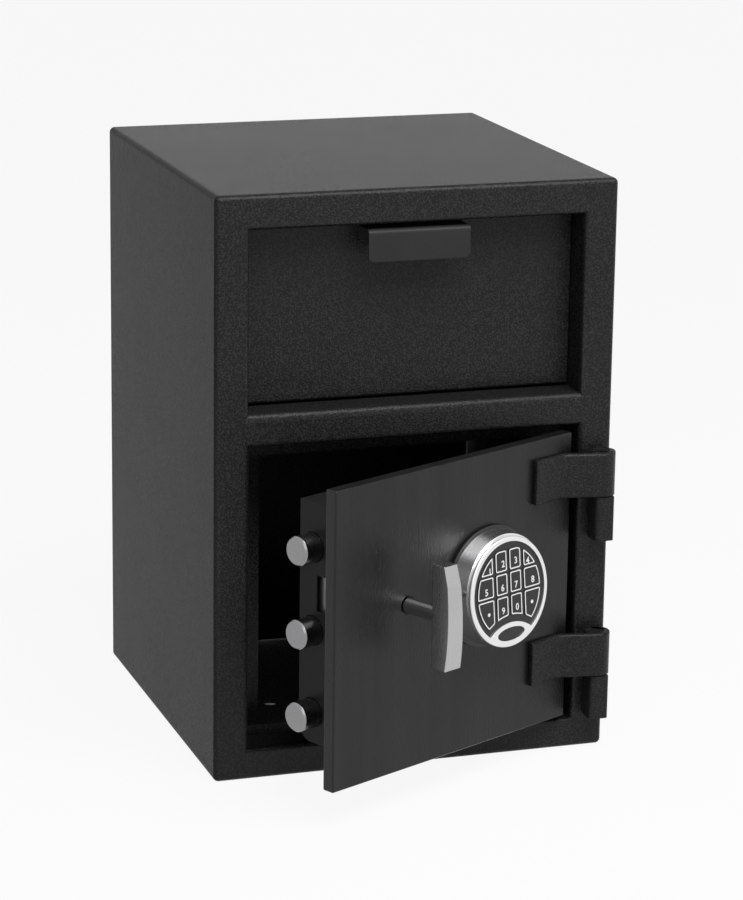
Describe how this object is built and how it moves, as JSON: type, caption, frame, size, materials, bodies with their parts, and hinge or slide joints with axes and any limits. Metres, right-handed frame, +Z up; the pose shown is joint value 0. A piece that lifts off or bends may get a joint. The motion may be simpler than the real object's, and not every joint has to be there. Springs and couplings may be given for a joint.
{
  "type": "drop safe",
  "caption": "Front-loading drop safe: tilt-out deposit hopper above, plate door below with sliding bolts, lever handle and round keypad, shown ajar on outside hinges.",
  "frame": {"origin": "centre of the footprint on the floor", "axes": "+Z up, -Y out of the front face, +X to the right as seen from the front"},
  "size_m": [0.3556, 0.5026, 0.508],
  "materials": {
    "dark_paint": "dark grey hammered powder coat",
    "satin_paint": "dark grey satin paint",
    "pull_paint": "grey satin paint",
    "bare_steel": "bright zinc plated",
    "chrome": "polished",
    "satin_metal": "satin",
    "hard_steel": "hardened, dark",
    "zinc": "die cast, stands in for zinc alloy",
    "brass": "machined",
    "black_plastic": "fine matte",
    "key_plastic": "fine matte",
    "circuit_board": "coated board",
    "wire": "insulated lead"
  },
  "bodies": {
    "cabinet": {"body_shell": "dark_paint", "back_panel": "dark_paint", "front_frame": "dark_paint", "door_stop": "dark_paint", "bolt_keeper": "dark_paint", "hinge_lug_upper": "dark_paint", "hinge_lug_lower": "dark_paint", "hinge_pin_upper": "dark_paint", "hinge_pin_lower": "dark_paint", "chute_plate": "dark_paint", "anti_fish_baffle": "dark_paint", "hopper_pivot_left": "dark_paint", "hopper_pivot_right": "dark_paint"},
    "hopper": {"hopper_door": "dark_paint", "hopper_pull": "pull_paint", "hopper_cheek_left": "dark_paint", "hopper_cheek_right": "dark_paint", "hopper_tray": "dark_paint"},
    "door": {"door_plate": "satin_paint", "hinge_strap_upper": "dark_paint", "hinge_strap_lower": "dark_paint", "bolt_cover": "satin_paint", "bolt_guide": "bare_steel", "spindle_bushing": "hard_steel", "hard_plate": "hard_steel", "lock_case": "zinc", "lock_lead": "wire", "keypad_flange": "black_plastic", "keypad_housing": "chrome", "keypad_bezel": "satin_metal", "keypad_badge": "black_plastic", "keypad_face": "black_plastic", "keypad_board": "circuit_board", "keypad_battery": "black_plastic"},
    "lever": {"lever_spindle": "chrome", "lever_grip": "satin_metal", "lever_cam": "bare_steel"},
    "bolts": {"bolt_1": "chrome", "bolt_2": "chrome", "bolt_3": "chrome", "bolt_carriage": "bare_steel"},
    "lock": {"lock_bolt": "brass"},
    "key_1_body": {"key_1": "key_plastic"},
    "key_2_body": {"key_2": "key_plastic"},
    "key_3_body": {"key_3": "key_plastic"},
    "key_4_body": {"key_4": "key_plastic"},
    "key_5_body": {"key_5": "key_plastic"},
    "key_6_body": {"key_6": "key_plastic"},
    "key_7_body": {"key_7": "key_plastic"},
    "key_8_body": {"key_8": "key_plastic"},
    "key_9_body": {"key_9": "key_plastic"},
    "key_0_body": {"key_0": "key_plastic"},
    "key_left_body": {"key_left": "key_plastic"},
    "key_right_body": {"key_right": "key_plastic"}
  },
  "joints": [
    {"name": "door_swing", "type": "hinge", "parent": "cabinet", "child": "door", "pos_m": [0.1658, -0.1894, 0.1606], "axis": [0, 0, 1], "range_deg": [-26.6, 143.4]},
    {"name": "lever_turn", "type": "hinge", "parent": "door", "child": "lever", "pos_m": [-0.03826, -0.2719, 0.1764], "axis": [-0.4478, 0.8942, 0], "range_deg": [0, 90]},
    {"name": "bolts_throw", "type": "slide", "parent": "door", "child": "bolts", "axis": [-0.8942, -0.4478, 0], "range_m": [0, 0.026]},
    {"name": "lock_bolt_throw", "type": "slide", "parent": "door", "child": "lock", "axis": [0, 0, -1], "range_m": [0, 0.008]},
    {"name": "hopper_tilt", "type": "hinge", "parent": "cabinet", "child": "hopper", "pos_m": [0, -0.1418, 0.332], "axis": [1, 0, 0], "range_deg": [0, 50]},
    {"name": "key_1_press", "type": "slide", "parent": "door", "child": "key_1_body", "axis": [-0.4461, 0.8908, -0.0872], "range_m": [0, 0.0008], "stiffness_N_per_m": 400, "springref_m": -0.0005},
    {"name": "key_2_press", "type": "slide", "parent": "door", "child": "key_2_body", "axis": [-0.4461, 0.8908, -0.0872], "range_m": [0, 0.0008], "stiffness_N_per_m": 400, "springref_m": -0.0005},
    {"name": "key_3_press", "type": "slide", "parent": "door", "child": "key_3_body", "axis": [-0.4461, 0.8908, -0.0872], "range_m": [0, 0.0008], "stiffness_N_per_m": 400, "springref_m": -0.0005},
    {"name": "key_4_press", "type": "slide", "parent": "door", "child": "key_4_body", "axis": [-0.4461, 0.8908, -0.0872], "range_m": [0, 0.0008], "stiffness_N_per_m": 400, "springref_m": -0.0005},
    {"name": "key_5_press", "type": "slide", "parent": "door", "child": "key_5_body", "axis": [-0.4461, 0.8908, -0.0872], "range_m": [0, 0.0008], "stiffness_N_per_m": 400, "springref_m": -0.0005},
    {"name": "key_6_press", "type": "slide", "parent": "door", "child": "key_6_body", "axis": [-0.4461, 0.8908, -0.0872], "range_m": [0, 0.0008], "stiffness_N_per_m": 400, "springref_m": -0.0005},
    {"name": "key_7_press", "type": "slide", "parent": "door", "child": "key_7_body", "axis": [-0.4461, 0.8908, -0.0872], "range_m": [0, 0.0008], "stiffness_N_per_m": 400, "springref_m": -0.0005},
    {"name": "key_8_press", "type": "slide", "parent": "door", "child": "key_8_body", "axis": [-0.4461, 0.8908, -0.0872], "range_m": [0, 0.0008], "stiffness_N_per_m": 400, "springref_m": -0.0005},
    {"name": "key_9_press", "type": "slide", "parent": "door", "child": "key_9_body", "axis": [-0.4461, 0.8908, -0.0872], "range_m": [0, 0.0008], "stiffness_N_per_m": 400, "springref_m": -0.0005},
    {"name": "key_0_press", "type": "slide", "parent": "door", "child": "key_0_body", "axis": [-0.4461, 0.8908, -0.0872], "range_m": [0, 0.0008], "stiffness_N_per_m": 400, "springref_m": -0.0005},
    {"name": "key_left_press", "type": "slide", "parent": "door", "child": "key_left_body", "axis": [-0.4461, 0.8908, -0.0872], "range_m": [0, 0.0008], "stiffness_N_per_m": 400, "springref_m": -0.0005},
    {"name": "key_right_press", "type": "slide", "parent": "door", "child": "key_right_body", "axis": [-0.4461, 0.8908, -0.0872], "range_m": [0, 0.0008], "stiffness_N_per_m": 400, "springref_m": -0.0005}
  ],
  "couplings": [
    {"joint": "bolts_throw", "follows": "lever_turn", "m_per_rad": 0.01655}
  ]
}
